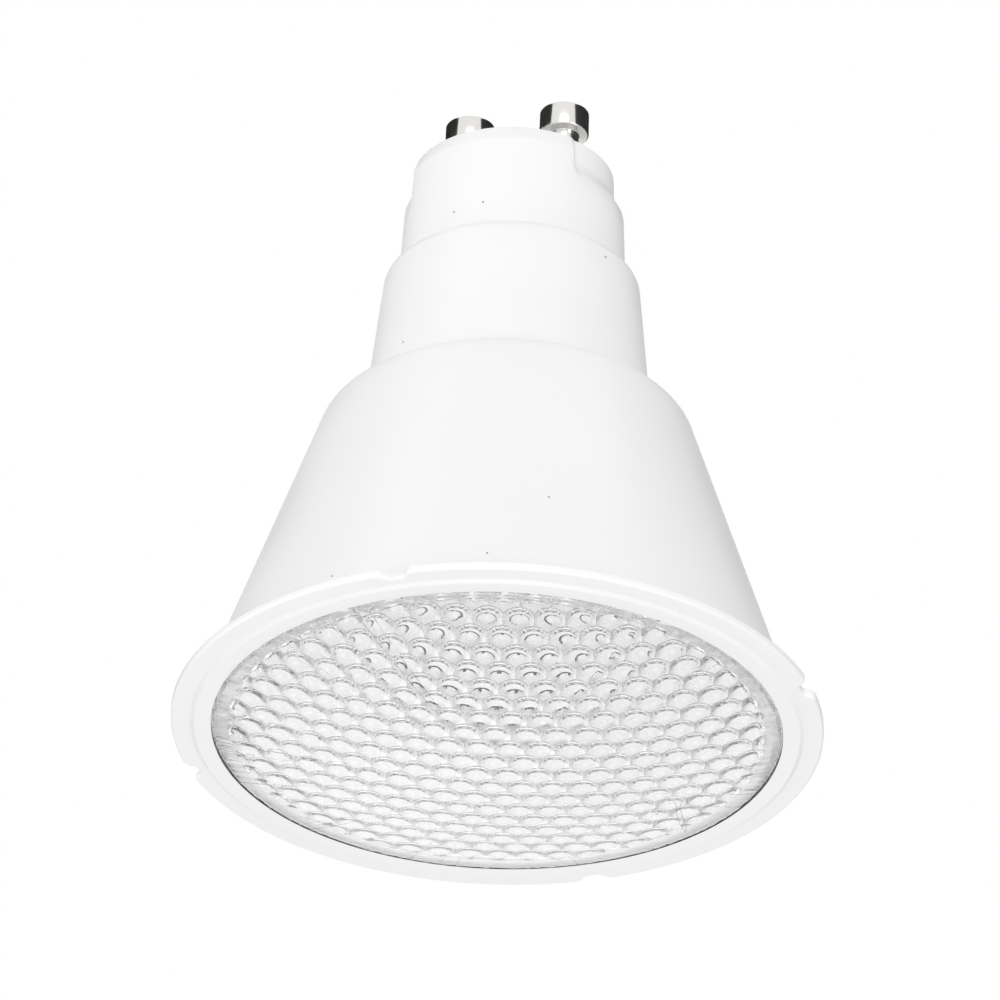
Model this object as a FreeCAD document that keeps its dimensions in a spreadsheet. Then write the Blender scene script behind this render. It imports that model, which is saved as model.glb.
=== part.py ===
import FreeCAD, Part
import math
import os
import Sketcher
from FreeCAD import Placement, Rotation, Vector

# GU10 spotlight bulb, millimetres. +Z runs up the bulb from the lens to the two pins.
# The origin is the lowest point of the domed lens. The pins stand on the X axis.

# Driving sizes. Heights of the outer tiers are each their own height, one on top of the other.
SIZES = {
    # lens
    "lens_bulge": 4.2,
    "lens_radius": 27.65,
    "lens_wall": 1.6,
    "lens_rim_height": 2.0,
    "lens_rim_width": 1.3,
    "lens_gap": 0.15,
    "bump_pitch": 2.924,
    "bump_rim_gap": 0.877,
    "bump_height": 0.8,
    "bump_land": 0.16,
    "bump_top_radius": 0.7,
    "bump_row_angle": 20.2,
    "bump_shift_x": -0.13,
    "bump_shift_y": -0.48,
    "gasket_height": 0.5,
    "gasket_width": 1.0,
    # housing
    "inner_ring_width": 2.2,
    "outer_ring_width": 1.9,
    "flange_height": 0.9,
    "flange_round": 0.25,
    "front_ring_rise": 0.3,
    "front_ring_step": 0.4,
    "notch_depth": 0.95,
    "notch_floor_width": 1.6,
    "notch_mouth_width": 3.6,
    "notch_mouth_round": 0.9,
    "notch_floor_round": 0.5,
    "flange_overhang": 2.35,
    "shoulder_width": 3.61,
    "cone_height": 34.7,
    "cone_round": 3.0,
    "cone_wall": 2.1,
    "shoulder_wall": 2.0,
    # driver case
    "case_root_radius": 14.35,
    "case_narrowing": 1.63,
    "case_height": 16.6,
    "case_round": 1.6,
    "case_wall": 1.5,
    "case_lip_height": 2.0,
    "case_gap": 0.1,
    "case_collar_width": 1.15,
    "case_collar_height": 1.2,
    # cap
    "case_step": 1.37,
    "cap_narrowing": 0.55,
    "cap_height": 12.0,
    "cap_wall": 1.5,
    "cap_floor": 2.0,
    "cap_bevel_height": 1.6,
    "cap_bevel_width": 0.5,
    "cap_spigot_step": 1.15,
    "cap_spigot_length": 3.4,
    "cap_fit_gap": 0.05,
    "recess_depth": 0.75,
    "recess_height": 3.0,
    "recess_step": 1.8,
    "recess_lean": 0.15,
    "recess_angle": 70.4,
    "recess_margin": 1.0,
    # contact pins
    "pin_spacing": 10.0,
    "pin_height": 7.3,
    "pin_head_radius": 2.5,
    "pin_head_height": 2.7,
    "pin_head_bevel": 0.2,
    "pin_neck_radius": 1.5,
    "pin_gap": 0.05,
    "pin_collar_radius": 2.3,
    "pin_collar_height": 0.8,
    "pin_tail_radius": 1.0,
    "pin_tail_length": 1.6,
    # reflector and diffuser
    "reflector_rim_height": 0.7,
    "reflector_rim_width": 2.5,
    "reflector_wall": 1.0,
    "reflector_depth": 14.9,
    "reflector_hole_radius": 8.0,
    "reflector_curve": 45.0,
    "reflector_collar_height": 1.3,
    "diffuser_gap": 0.6,
    "diffuser_wall": 0.8,
    "diffuser_height": 3.0,
    "diffuser_crown": 1.2,
    # diode board
    "board_margin": 3.3,
    "board_thickness": 1.4,
    "diode_width": 2.8,
    "diode_height": 0.8,
    "diode_circle": 4.0,
    "diode_count": 7,
    "pad_thickness": 0.3,
    "spreader_thickness": 1.6,
    "spreader_skirt": 5.0,
    "spreader_wall": 1.2,
    "spreader_gap": 0.15,
    "screw_inset": 1.15,
    "screw_radius": 1.25,
    "screw_head_radius": 2.2,
    "screw_head_bevel": 0.44,
    "screw_head_height": 1.5,
    "screw_gap": 0.1,
    # driver
    "plate_thickness": 1.5,
    "plate_gap": 0.1,
    "rib_height": 2.0,
    "rib_width": 1.0,
    "rib_gap": 0.05,
    "driver_board_side_gap": 0.37,
    "driver_board_top_gap": 1.0,
    "driver_board_thickness": 1.2,
    "driver_board_back": 4.7,
    "part_gap": 0.1,
    "part_spacing": 0.5,
    "chip_inset": 1.0,
    "transformer_side_gap": 1.9,
    "transformer_depth": 9.0,
    "transformer_height": 9.4,
    "transformer_leg": 2.4,
    "winding_gap": 0.1,
    "input_can_radius": 4.0,
    "output_can_radius": 3.15,
    "can_height": 9.0,
    "can_groove": 0.25,
    "film_width": 9.0,
    "film_depth": 4.4,
    "film_height": 7.6,
    "drum_radius": 3.0,
    "drum_height": 4.8,
    "drum_flange": 0.8,
    "drum_waist_radius": 2.2,
    "bridge_width": 4.7,
    "bridge_depth": 2.5,
    "bridge_height": 3.6,
    "chip_width": 3.9,
    "chip_depth": 1.5,
    "chip_height": 4.9,
    "diode_body_width": 2.6,
    "diode_body_depth": 2.2,
    "diode_body_height": 4.3,
    "resistor_radius": 1.5,
    "resistor_end_step": 0.3,
    "resistor_gap": 0.3,
    "resistor_length": 7.0,
    "wire_radius": 0.6,
    "wire_bend": 1.8,
    "wire_hole_gap": 0.2,
    "output_wire_inset": 1.5,
}

document = FreeCAD.newDocument("gu10_spotlight_bulb")
sheet = document.addObject("Spreadsheet::Sheet", "Sizes")
for row, (word, amount) in enumerate(SIZES.items(), start=1):
    sheet.set("A%d" % row, word)
    sheet.set("B%d" % row, str(amount))
    sheet.setAlias("B%d" % row, word)
document.recompute()


class Size:
    """A size with its formula for the document and its value for placing what is drawn."""

    def __init__(self, formula, value):
        self.formula = formula
        self.value = value

    def __add__(self, other):
        other = as_size(other)
        return Size("(%s + %s)" % (self.formula, other.formula), self.value + other.value)

    def __radd__(self, other):
        return as_size(other) + self

    def __sub__(self, other):
        other = as_size(other)
        return Size("(%s - %s)" % (self.formula, other.formula), self.value - other.value)

    def __rsub__(self, other):
        return as_size(other) - self

    def __mul__(self, other):
        other = as_size(other)
        return Size("(%s * %s)" % (self.formula, other.formula), self.value * other.value)

    def __rmul__(self, other):
        return as_size(other) * self

    def __truediv__(self, other):
        other = as_size(other)
        return Size("(%s / %s)" % (self.formula, other.formula), self.value / other.value)

    def __neg__(self):
        return 0 - self


def as_size(amount):
    """Numbers in a formula, such as the 2 that halves a width, become sizes too."""
    if isinstance(amount, Size):
        return amount
    return Size(repr(amount), float(amount))


def root(size):
    """The square root of a size."""
    return Size("sqrt(%s)" % size.formula, math.sqrt(size.value))


def named(word):
    """The size in the sheet that has this name."""
    return Size("Sizes.%s" % word, float(sheet.get(word)))


def bind(feature, property_name, size):
    """Tie one property of a feature to a size."""
    feature.setExpression(property_name, as_size(size).formula)


def new_body(name):
    """An empty body with its label, which also names its file."""
    body = document.addObject("PartDesign::Body", name)
    body.Label = name
    return body


def origin_feature(body, role):
    """The body's own origin plane or axis with this role."""
    return [item for item in body.Origin.OriginFeatures if item.Role == role][0]


def new_sketch(body, name, role, height=None):
    """A sketch on one of the body's origin planes, raised by a height if one is given."""
    sketch = body.newObject("Sketcher::SketchObject", name)
    sketch.AttachmentSupport = (origin_feature(body, role), [""])
    sketch.MapMode = "FlatFace"
    if height is not None:
        bind(sketch, "AttachmentOffset.Base.z", height)
    return sketch


def place_point(sketch, geometry, end, across, up):
    """Hold one point of a sketch at its two distances from the origin, or on an axis where one is 0."""
    for kind, axis, size in (("DistanceX", -2, across), ("DistanceY", -1, up)):
        size = as_size(size)
        if size.formula == "0":
            sketch.addConstraint(Sketcher.Constraint("PointOnObject", geometry, end, axis))
            continue
        where = Sketcher.Constraint(kind, -1, 1, geometry, end, size.value)
        number = sketch.addConstraint(where)
        sketch.setExpression("Constraints[%d]" % number, size.formula)


def bowed_edge(start, end, radius):
    """An arc from start to end that turns left for a positive radius and right for a negative one."""
    chord = end - start
    half = chord.Length / 2.0
    to_left = Vector(-chord.y, chord.x, 0).normalize()
    side = math.copysign(math.sqrt(radius ** 2 - half ** 2), radius)
    centre = (start + end) * 0.5 + to_left * side
    first, last = (start, end) if radius > 0 else (end, start)
    angles = [math.atan2(point.y - centre.y, point.x - centre.x) for point in (first, last)]
    circle = Part.Circle(centre, Vector(0, 0, 1), abs(radius))
    return Part.ArcOfCircle(circle, angles[0], angles[1])


def draw_outline(sketch, corners):
    """Draw a closed outline. A corner is (across, up), or (across, up, radius) where an arc starts."""
    corners = [tuple(as_size(item) for item in corner) for corner in corners]
    spots = [Vector(corner[0].value, corner[1].value, 0) for corner in corners]
    first = sketch.GeometryCount
    ends = []
    for number, corner in enumerate(corners):
        start, end = spots[number], spots[(number + 1) % len(spots)]
        if len(corner) == 3:
            geometry = sketch.addGeometry(bowed_edge(start, end, corner[2].value), False)
            ends.append((1, 2) if corner[2].value > 0 else (2, 1))
        else:
            geometry = sketch.addGeometry(Part.LineSegment(start, end), False)
            ends.append((1, 2))
    for number, corner in enumerate(corners):
        geometry = first + number
        following = (number + 1) % len(corners)
        joint = ("Coincident", geometry, ends[number][1], first + following, ends[following][0])
        sketch.addConstraint(Sketcher.Constraint(*joint))
        place_point(sketch, geometry, ends[number][0], corner[0], corner[1])
        if len(corner) == 3:
            bow = abs(corner[2].value)
            number_of_bow = sketch.addConstraint(Sketcher.Constraint("Radius", geometry, bow))
            sketch.setExpression("Constraints[%d]" % number_of_bow, "abs(%s)" % corner[2].formula)


def draw_circle(sketch, across, up, radius):
    """Draw a circle held by its centre and radius."""
    across, up, radius = as_size(across), as_size(up), as_size(radius)
    centre = Vector(across.value, up.value, 0)
    circle = Part.Circle(centre, Vector(0, 0, 1), radius.value)
    geometry = sketch.addGeometry(circle, False)
    place_point(sketch, geometry, 3, across, up)
    number = sketch.addConstraint(Sketcher.Constraint("Radius", geometry, radius.value))
    sketch.setExpression("Constraints[%d]" % number, radius.formula)


def turn(body, name, corners, angle=360):
    """Turn an outline of radii and heights about the Z axis."""
    sketch = new_sketch(body, name + "_outline", "XZ_Plane")
    draw_outline(sketch, corners)
    feature = body.newObject("PartDesign::Revolution", name)
    feature.Profile = sketch
    feature.ReferenceAxis = (sketch, ["V_Axis"])
    feature.Angle = angle
    document.recompute()
    return feature


def pad(body, name, sketch, length):
    """Raise a sketch into a solid."""
    feature = body.newObject("PartDesign::Pad", name)
    feature.Profile = sketch
    bind(feature, "Length", length)
    document.recompute()
    return feature


def cut_upwards(body, name, sketch):
    """Cut a sketch through all that lies above it."""
    before = body.Shape.Volume
    feature = body.newObject("PartDesign::Pocket", name)
    feature.Profile = sketch
    feature.Type = "ThroughAll"
    feature.Reversed = True
    document.recompute()
    if not feature.Shape.Volume < before:
        raise ValueError("%s cuts nothing" % name)
    return feature


def repeat_about_axis(body, name, feature, count):
    """Repeat a feature at even angles about the Z axis."""
    pattern = body.newObject("PartDesign::PolarPattern", name)
    pattern.Originals = [feature]
    pattern.Axis = (origin_feature(body, "Z_Axis"), [""])
    pattern.Angle = 360
    pattern.Occurrences = count
    body.Tip = pattern
    document.recompute()
    return pattern


def edges_that(shape, test):
    """The names of the edges of a shape that pass a test."""
    return ["Edge%d" % number for number, edge in enumerate(shape.Edges, start=1) if test(edge)]


def ring_at(radius, height):
    """A test for the round edge of this radius about the Z axis at this height."""

    def test(edge):
        box = edge.BoundBox
        flat = abs(box.ZMin - height.value) < 0.01 and abs(box.ZMax - height.value) < 0.01
        return flat and abs(edge.Vertexes[0].Point.x ** 2 + edge.Vertexes[0].Point.y ** 2
                            - radius.value ** 2) < 0.1

    return test


def upright_at(radius):
    """A test for an upright straight edge at this distance from the Z axis."""

    def test(edge):
        first, last = edge.Vertexes[0].Point, edge.Vertexes[-1].Point
        upright = math.hypot(first.x - last.x, first.y - last.y) < 0.001
        return upright and last != first and abs(math.hypot(first.x, first.y) - radius) < 0.01

    return test


def dress(body, kind, name, test, size):
    """Round or bevel the edges of the body that pass a test."""
    base = body.Tip
    feature = body.newObject("PartDesign::" + kind, name)
    feature.Base = (base, edges_that(base.Shape, test))
    bind(feature, "Radius" if kind == "Fillet" else "Size", size)
    document.recompute()
    return feature


# Heights that several pieces share, each worked out once from the sizes above.
flange_front = named("lens_bulge")
front_ring = flange_front - named("front_ring_rise")
lens_rim_top = front_ring + named("lens_rim_height")
gasket_top = lens_rim_top + named("gasket_height")
lens_seat = gasket_top + named("reflector_rim_height")
reflector_end = gasket_top + named("reflector_depth")
board_face = reflector_end + named("reflector_collar_height")
board_back = board_face + named("board_thickness")
spreader_face = board_back + named("pad_thickness")
spreader_back = spreader_face + named("spreader_thickness")
plate_top = spreader_back + named("plate_thickness")
shoulder = flange_front + named("cone_height")
shoulder_under = shoulder - named("shoulder_wall")
case_top = shoulder + named("case_height")
case_lip = case_top - named("case_lip_height")
cap_spigot_end = case_top - named("cap_spigot_length")
cap_top = case_top + named("cap_height")
cap_under = cap_top - named("cap_floor")
pin_top = cap_top + named("pin_height")

# Radii, each worked out from the one that it stands next to.
front_ring_radius = named("lens_radius") + named("inner_ring_width")
flange_radius = front_ring_radius + named("outer_ring_width")
cone_root_radius = flange_radius - named("flange_overhang")
cone_top_radius = named("case_root_radius") + named("shoulder_width")
case_top_radius = named("case_root_radius") - named("case_narrowing")
cap_root_radius = case_top_radius - named("case_step")
cap_top_radius = cap_root_radius - named("cap_narrowing")
cap_spigot_radius = cap_root_radius - named("cap_spigot_step")
recess_radius = cap_top_radius - named("recess_depth")

# The cone's outside narrows evenly from the flange to the shoulder.
flange_back = flange_front + named("flange_height")
cone_taper = (cone_root_radius - cone_top_radius) / (shoulder - flange_back)
pocket_radius = named("lens_radius") + named("lens_gap")


def cone_outside(height):
    """The radius of the cone's outside at a height."""
    return cone_root_radius - cone_taper * (height - flange_back)


def cone_inside(height):
    """The radius of the cone's inside at a height."""
    return cone_outside(height) - named("cone_wall")


case_taper = (named("case_root_radius") - case_top_radius) / named("case_height")


def case_outside(height):
    """The radius of the driver case's outside at a height above the shoulder."""
    return named("case_root_radius") - case_taper * (height - shoulder)


# The driver board is as wide as the narrow end of the case lets it be, and its wires and
# transformer keep inside that width.
driver_board_front = named("driver_board_back") - named("driver_board_thickness")
driver_board_reach = case_outside(case_lip) - named("case_wall") - named("driver_board_side_gap")
driver_board_half = root(driver_board_reach * driver_board_reach
                         - named("driver_board_back") * named("driver_board_back"))
output_wire_x = driver_board_half - named("output_wire_inset")
transformer_half = output_wire_x - named("wire_radius") - named("transformer_side_gap")

case_tube_radius = named("case_root_radius") - named("case_gap")
case_bore = named("case_root_radius") - named("case_wall")
cap_taper = (cap_root_radius - cap_top_radius) / named("cap_height")


def cap_outside(height):
    """The radius of the cap's outside at a height."""
    return cap_root_radius - cap_taper * (height - case_top)


def make_housing():
    """The white cone with its front flange, one moulding with four notches for a ring tool."""
    body = new_body("housing")
    hole_radius = named("case_root_radius") + named("case_gap")
    turn(body, "housing_wall", [
        (pocket_radius, front_ring),
        (front_ring_radius - named("front_ring_step"), front_ring),
        (front_ring_radius, flange_front),
        (flange_radius, flange_front),
        (flange_radius, flange_back),
        (cone_root_radius, flange_back),
        (cone_top_radius, shoulder),
        (hole_radius, shoulder),
        (hole_radius, shoulder_under),
        (cone_inside(shoulder_under), shoulder_under),
        (cone_inside(lens_seat), lens_seat),
        (pocket_radius, lens_seat),
    ])
    dress(body, "Fillet", "shoulder_round", ring_at(cone_top_radius, shoulder),
          named("cone_round"))
    notch = new_sketch(body, "notch_outline", "XY_Plane", flange_front - 1)
    floor = flange_radius - named("notch_depth")
    mouth = flange_radius + named("flange_round")
    draw_outline(notch, [
        (floor, -named("notch_floor_width") / 2),
        (mouth, -named("notch_mouth_width") / 2),
        (mouth, named("notch_mouth_width") / 2),
        (floor, named("notch_floor_width") / 2),
    ])
    first_notch = cut_upwards(body, "notch", notch)
    repeat_about_axis(body, "notches", first_notch, 4)
    mouth_corners = upright_at(flange_radius.value)
    dress(body, "Fillet", "notch_mouth_rounds", mouth_corners, named("notch_mouth_round"))
    floor_corners = upright_at(math.hypot(floor.value, named("notch_floor_width").value / 2))
    dress(body, "Fillet", "notch_floor_rounds", floor_corners, named("notch_floor_round"))

    def flange_rim(edge):
        box = edge.BoundBox
        flat = box.ZMax - box.ZMin < 0.01
        level = min(abs(box.ZMin - flange_front.value), abs(box.ZMin - flange_back.value)) < 0.01
        reach = min(math.hypot(point.Point.x, point.Point.y) for point in edge.Vertexes)
        return flat and level and reach > floor.value - 0.1

    dress(body, "Fillet", "flange_rounds", flange_rim, named("flange_round"))
    return body


def make_driver_case():
    """The neck: a plastic tube that comes out through the cone's shoulder and stands on the spreader."""
    body = new_body("driver_case")
    collar_under = shoulder_under - named("case_collar_height")
    collar_radius = named("case_root_radius") + named("case_collar_width")
    opening = cap_spigot_radius + named("cap_fit_gap")
    turn(body, "case_wall", [
        (case_bore, spreader_back),
        (case_tube_radius, spreader_back),
        (case_tube_radius, collar_under),
        (collar_radius, collar_under),
        (collar_radius, shoulder_under),
        (named("case_root_radius"), shoulder_under),
        (named("case_root_radius"), shoulder),
        (case_top_radius, case_top),
        (opening, case_top),
        (opening, case_lip),
        (case_outside(case_lip) - named("case_wall"), case_lip),
        (case_bore, shoulder),
    ])
    dress(body, "Fillet", "case_round_top", ring_at(case_top_radius, case_top),
          named("case_round"))
    return body


def recess_section(body, name, height, radius):
    """Plan of a cap recess at a height: an inner arc, and ends that slant outwards from it."""
    sketch = new_sketch(body, name, "XY_Plane", height)
    half_angle = math.radians(named("recess_angle").value / 2)
    slant = half_angle + math.radians(45)
    inner = recess_radius
    across, along = inner * math.cos(half_angle), inner * math.sin(half_angle)
    offset = inner * math.sqrt(0.5)

    def side_point(reach):
        """The point of the slanted end at this radius from the axis."""
        run = root(reach * reach - offset * offset) - offset
        return across + run * math.cos(slant), along + run * math.sin(slant)

    near_across, near_along = side_point(radius)
    outside = cap_root_radius + named("recess_margin")
    far_across, far_along = side_point(outside)
    draw_outline(sketch, [
        (near_across, -near_along, radius),
        (near_across, near_along),
        (far_across, far_along),
        (outside, far_along),
        (outside, -far_along),
        (far_across, -far_along),
    ])
    return sketch


def make_cap():
    """The cap that carries the pins, with a shallow recess below each pin."""
    body = new_body("gu10_cap")
    bevel_start = cap_top - named("cap_bevel_height")
    bore = cap_spigot_radius - named("cap_wall")
    turn(body, "cap_wall", [
        (0, cap_under),
        (bore, cap_under),
        (bore, cap_spigot_end),
        (cap_spigot_radius, cap_spigot_end),
        (cap_spigot_radius, case_top),
        (cap_root_radius, case_top),
        (cap_outside(bevel_start), bevel_start),
        (cap_outside(bevel_start) - named("cap_bevel_width"), cap_top),
        (0, cap_top),
    ])
    recess_floor = cap_top - named("recess_height")
    slope_end = recess_floor - named("recess_step")
    beyond = named("recess_margin")
    slope_run = (cap_outside(slope_end) - recess_radius) / named("recess_step")
    sections = [
        recess_section(body, "recess_low", slope_end - beyond, cap_outside(slope_end) + slope_run * beyond),
        recess_section(body, "recess_middle", recess_floor, recess_radius),
        recess_section(body, "recess_high", cap_top + beyond, recess_radius - named("recess_lean")),
    ]
    before = body.Shape.Volume
    recess = body.newObject("PartDesign::SubtractiveLoft", "recess")
    recess.Profile = sections[0]
    recess.Sections = [(section, [""]) for section in sections[1:]]
    recess.Ruled = True
    document.recompute()
    if not recess.Shape.Volume < before:
        raise ValueError("the recess cuts nothing")
    repeat_about_axis(body, "recesses", recess, 2)
    holes = new_sketch(body, "pin_holes_outline", "XY_Plane", cap_under - 1)
    hole_radius = named("pin_neck_radius") + named("pin_gap")
    draw_circle(holes, named("pin_spacing") / 2, 0, hole_radius)
    draw_circle(holes, -named("pin_spacing") / 2, 0, hole_radius)
    cut_upwards(body, "pin_holes", holes)
    return body


def make_pin(name, side):
    """A turned contact pin: head, neck, clinched collar below the cap's floor and a tail."""
    body = new_body(name)
    head_under = pin_top - named("pin_head_height")
    collar_under = cap_under - named("pin_collar_height")
    tail_end = collar_under - named("pin_tail_length")
    turn(body, name + "_turned", [
        (0, tail_end),
        (named("pin_tail_radius"), tail_end),
        (named("pin_tail_radius"), collar_under),
        (named("pin_collar_radius"), collar_under),
        (named("pin_collar_radius"), cap_under),
        (named("pin_neck_radius"), cap_under),
        (named("pin_neck_radius"), head_under),
        (named("pin_head_radius") - named("pin_head_bevel"), head_under),
        (named("pin_head_radius"), head_under + named("pin_head_bevel")),
        (named("pin_head_radius"), pin_top - named("pin_head_bevel")),
        (named("pin_head_radius") - named("pin_head_bevel"), pin_top),
        (0, pin_top),
    ])
    bind(body, "Placement.Base.x", side * named("pin_spacing") / 2)
    return body


# The lens: its outer face is part of a sphere through its lowest point and its rim.
lens_curve = (named("lens_radius") * named("lens_radius") + front_ring * front_ring) / (front_ring * 2)
lens_inner_curve = lens_curve - named("lens_wall")
lens_clear_radius = named("lens_radius") - named("lens_rim_width")


def sphere_height(curve, radius):
    """The height of the sphere about the lens's centre of curvature at a radius from the axis."""
    return lens_curve.value - math.sqrt(curve ** 2 - radius ** 2)


def hexagon(radius, height, turned):
    """The corners of a hexagon about the Z axis."""
    angles = [turned + math.radians(30 + 60 * number) for number in range(6)]
    return [Vector(radius * math.cos(angle), radius * math.sin(angle), height) for angle in angles]


def bump_shape():
    """One bump of the honeycomb: a low six-sided frustum whose foot is sunk in the lens wall."""
    turned = math.radians(named("bump_row_angle").value)
    foot_radius = (named("bump_pitch").value - named("bump_land").value) / math.sqrt(3)
    sink = named("lens_wall").value / 4
    height = named("bump_height").value
    slope = (foot_radius - named("bump_top_radius").value) / height
    foot = hexagon(foot_radius, -sink, turned)
    waist = hexagon(foot_radius, 0, turned)
    crown = hexagon(foot_radius - slope * height, height, turned)
    rings = [foot, waist, crown]
    faces = [Part.Face(Part.makePolygon(ring + ring[:1])) for ring in (foot, crown)]
    for lower, upper in zip(rings, rings[1:]):
        for number in range(6):
            after = (number + 1) % 6
            corners = [lower[number], lower[after], upper[after], upper[number], lower[number]]
            faces.append(Part.Face(Part.makePolygon(corners)))
    return Part.makeSolid(Part.makeShell(faces))


def bump_places():
    """The middle of each bump of the hexagonal lattice that fits inside the lens's clear rim."""
    pitch = named("bump_pitch").value
    first = math.radians(named("bump_row_angle").value)
    second = first + math.radians(60)
    reach = lens_clear_radius.value - named("bump_rim_gap").value
    count = int(reach / pitch / math.cos(math.radians(30))) + 2
    places = []
    for along in range(-count, count + 1):
        for over in range(-count, count + 1):
            x = named("bump_shift_x").value + pitch * (along * math.cos(first) + over * math.cos(second))
            y = named("bump_shift_y").value + pitch * (along * math.sin(first) + over * math.sin(second))
            if math.hypot(x, y) < reach:
                places.append((x, y))
    return places


def make_lens():
    """The clear front: a domed wall with a rim, and the honeycomb of bumps on its inner face."""
    outer, inner = lens_curve.value, lens_inner_curve.value
    edge_radius, clear_radius = named("lens_radius").value, lens_clear_radius.value
    low, high = front_ring.value, lens_rim_top.value

    def on_sphere(curve, radius):
        return Vector(radius, 0, sphere_height(curve, radius))

    edges = [
        Part.Arc(on_sphere(outer, 0), on_sphere(outer, edge_radius / 2), on_sphere(outer, edge_radius)),
        Part.LineSegment(Vector(edge_radius, 0, low), Vector(edge_radius, 0, high)),
        Part.LineSegment(Vector(edge_radius, 0, high), Vector(clear_radius, 0, high)),
        Part.LineSegment(Vector(clear_radius, 0, high), on_sphere(inner, clear_radius)),
        Part.Arc(on_sphere(inner, clear_radius), on_sphere(inner, clear_radius / 2), on_sphere(inner, 0)),
        Part.LineSegment(on_sphere(inner, 0), on_sphere(outer, 0)),
    ]
    outline = Part.Face(Part.Wire([edge.toShape() for edge in edges]))
    wall = outline.revolve(Vector(0, 0, 0), Vector(0, 0, 1), 360)
    centre = Vector(0, 0, outer)
    bump = bump_shape()
    bumps = []
    for x, y in bump_places():
        spot = Vector(x, y, sphere_height(inner, math.hypot(x, y)))
        tilt = Rotation(Vector(0, 0, 1), centre - spot)
        piece = bump.copy()
        piece.Placement = Placement(spot, tilt)
        bumps.append(piece)
    lens = document.addObject("Part::Feature", "lens")
    lens.Label = "lens"
    lens.Shape = wall.fuse(bumps)
    return lens


def make_gasket():
    """The sealing ring between the lens rim and the reflector rim."""
    body = new_body("lens_gasket")
    inside = named("lens_radius") - named("gasket_width")
    turn(body, "gasket_ring", [
        (inside, lens_rim_top),
        (named("lens_radius"), lens_rim_top),
        (named("lens_radius"), gasket_top),
        (inside, gasket_top),
    ])
    return body


def make_reflector():
    """The white bowl: a curved wall from the rim on the housing's ledge to a collar at the diodes."""
    body = new_body("reflector")
    mouth = named("lens_radius") - named("reflector_rim_width")
    hole = named("reflector_hole_radius")
    wall = named("reflector_wall")
    turn(body, "bowl", [
        (mouth, gasket_top),
        (named("lens_radius"), gasket_top),
        (named("lens_radius"), lens_seat),
        (mouth + wall, lens_seat, named("reflector_curve") + wall),
        (hole + wall, reflector_end + wall),
        (hole + wall, board_face),
        (hole, board_face),
        (hole, reflector_end, -named("reflector_curve")),
    ])
    return body


def make_diffuser():
    """The small white cap over the diodes, in the middle of the bowl."""
    body = new_body("diffuser")
    outer = named("reflector_hole_radius") - named("diffuser_gap")
    inner = outer - named("diffuser_wall")
    rise = named("diffuser_crown")
    low = board_face - named("diffuser_height")
    inside = low + named("diffuser_wall")
    turn(body, "diffuser_dome", [
        (inner, board_face),
        (inner, inside + rise, -(inner * inner + rise * rise) / (rise * 2)),
        (0, inside),
        (0, low, (outer * outer + rise * rise) / (rise * 2)),
        (outer, low + rise),
        (outer, board_face),
    ])
    return body


def make_round_plate(name, radius, low, thickness, holes):
    """A flat round plate with round holes, each (across, along, radius)."""
    body = new_body(name)
    sketch = new_sketch(body, name + "_outline", "XY_Plane", low)
    draw_circle(sketch, 0, 0, radius)
    for hole in holes:
        draw_circle(sketch, *hole)
    pad(body, name + "_pad", sketch, thickness)
    return body


screw_circle = named("case_root_radius") - named("screw_inset")
board_radius = screw_circle + named("board_margin")
wire_hole_radius = named("wire_radius") + named("wire_hole_gap")
wire_holes = [(side * output_wire_x, 0, wire_hole_radius) for side in (1, -1)]
screw_hole_radius = named("screw_radius") + named("screw_gap")
screw_holes = [(0, side * screw_circle, screw_hole_radius) for side in (1, -1)]


def make_spreader():
    """The pressed aluminium cup that lies in the cone and takes the heat of the diodes."""
    body = new_body("heat_spreader")
    skirt_top = spreader_face + named("spreader_skirt")
    gap = named("spreader_gap")
    wall = named("spreader_wall")
    turn(body, "spreader_cup", [
        (0, spreader_face),
        (cone_inside(spreader_face) - gap, spreader_face),
        (cone_inside(skirt_top) - gap, skirt_top),
        (cone_inside(skirt_top) - gap - wall, skirt_top),
        (cone_inside(spreader_back) - gap - wall, spreader_back),
        (0, spreader_back),
    ])
    sketch = new_sketch(body, "spreader_holes_outline", "XY_Plane", spreader_face - 1)
    for hole in wire_holes + screw_holes:
        draw_circle(sketch, *hole)
    cut_upwards(body, "spreader_holes", sketch)
    return body


def make_group(name, members):
    """Several like solids under one name."""
    group = document.addObject("Part::Compound", name)
    group.Label = name
    group.Links = members
    return group


def box(name, low_corner, extents):
    """A plain block held by its low corner and its three extents."""
    block = document.addObject("Part::Box", name)
    for property_name, size in zip(("Length", "Width", "Height"), extents):
        bind(block, property_name, size)
    for axis, size in zip("xyz", low_corner):
        bind(block, "Placement.Base." + axis, size)
    return block


def make_diodes():
    """Seven surface-mount diodes: one in the middle and the others on a circle about it."""
    width = named("diode_width")
    around = int(named("diode_count").value) - 1
    middles = [(as_size(0), as_size(0))]
    for number in range(around):
        angle = 2 * math.pi * number / around
        middles.append((named("diode_circle") * math.cos(angle), named("diode_circle") * math.sin(angle)))
    members = []
    for number, (x, y) in enumerate(middles):
        low_corner = (x - width / 2, y - width / 2, board_face - named("diode_height"))
        members.append(box("diode_%d" % number, low_corner, (width, width, named("diode_height"))))
    return make_group("led_packages", members)


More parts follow.
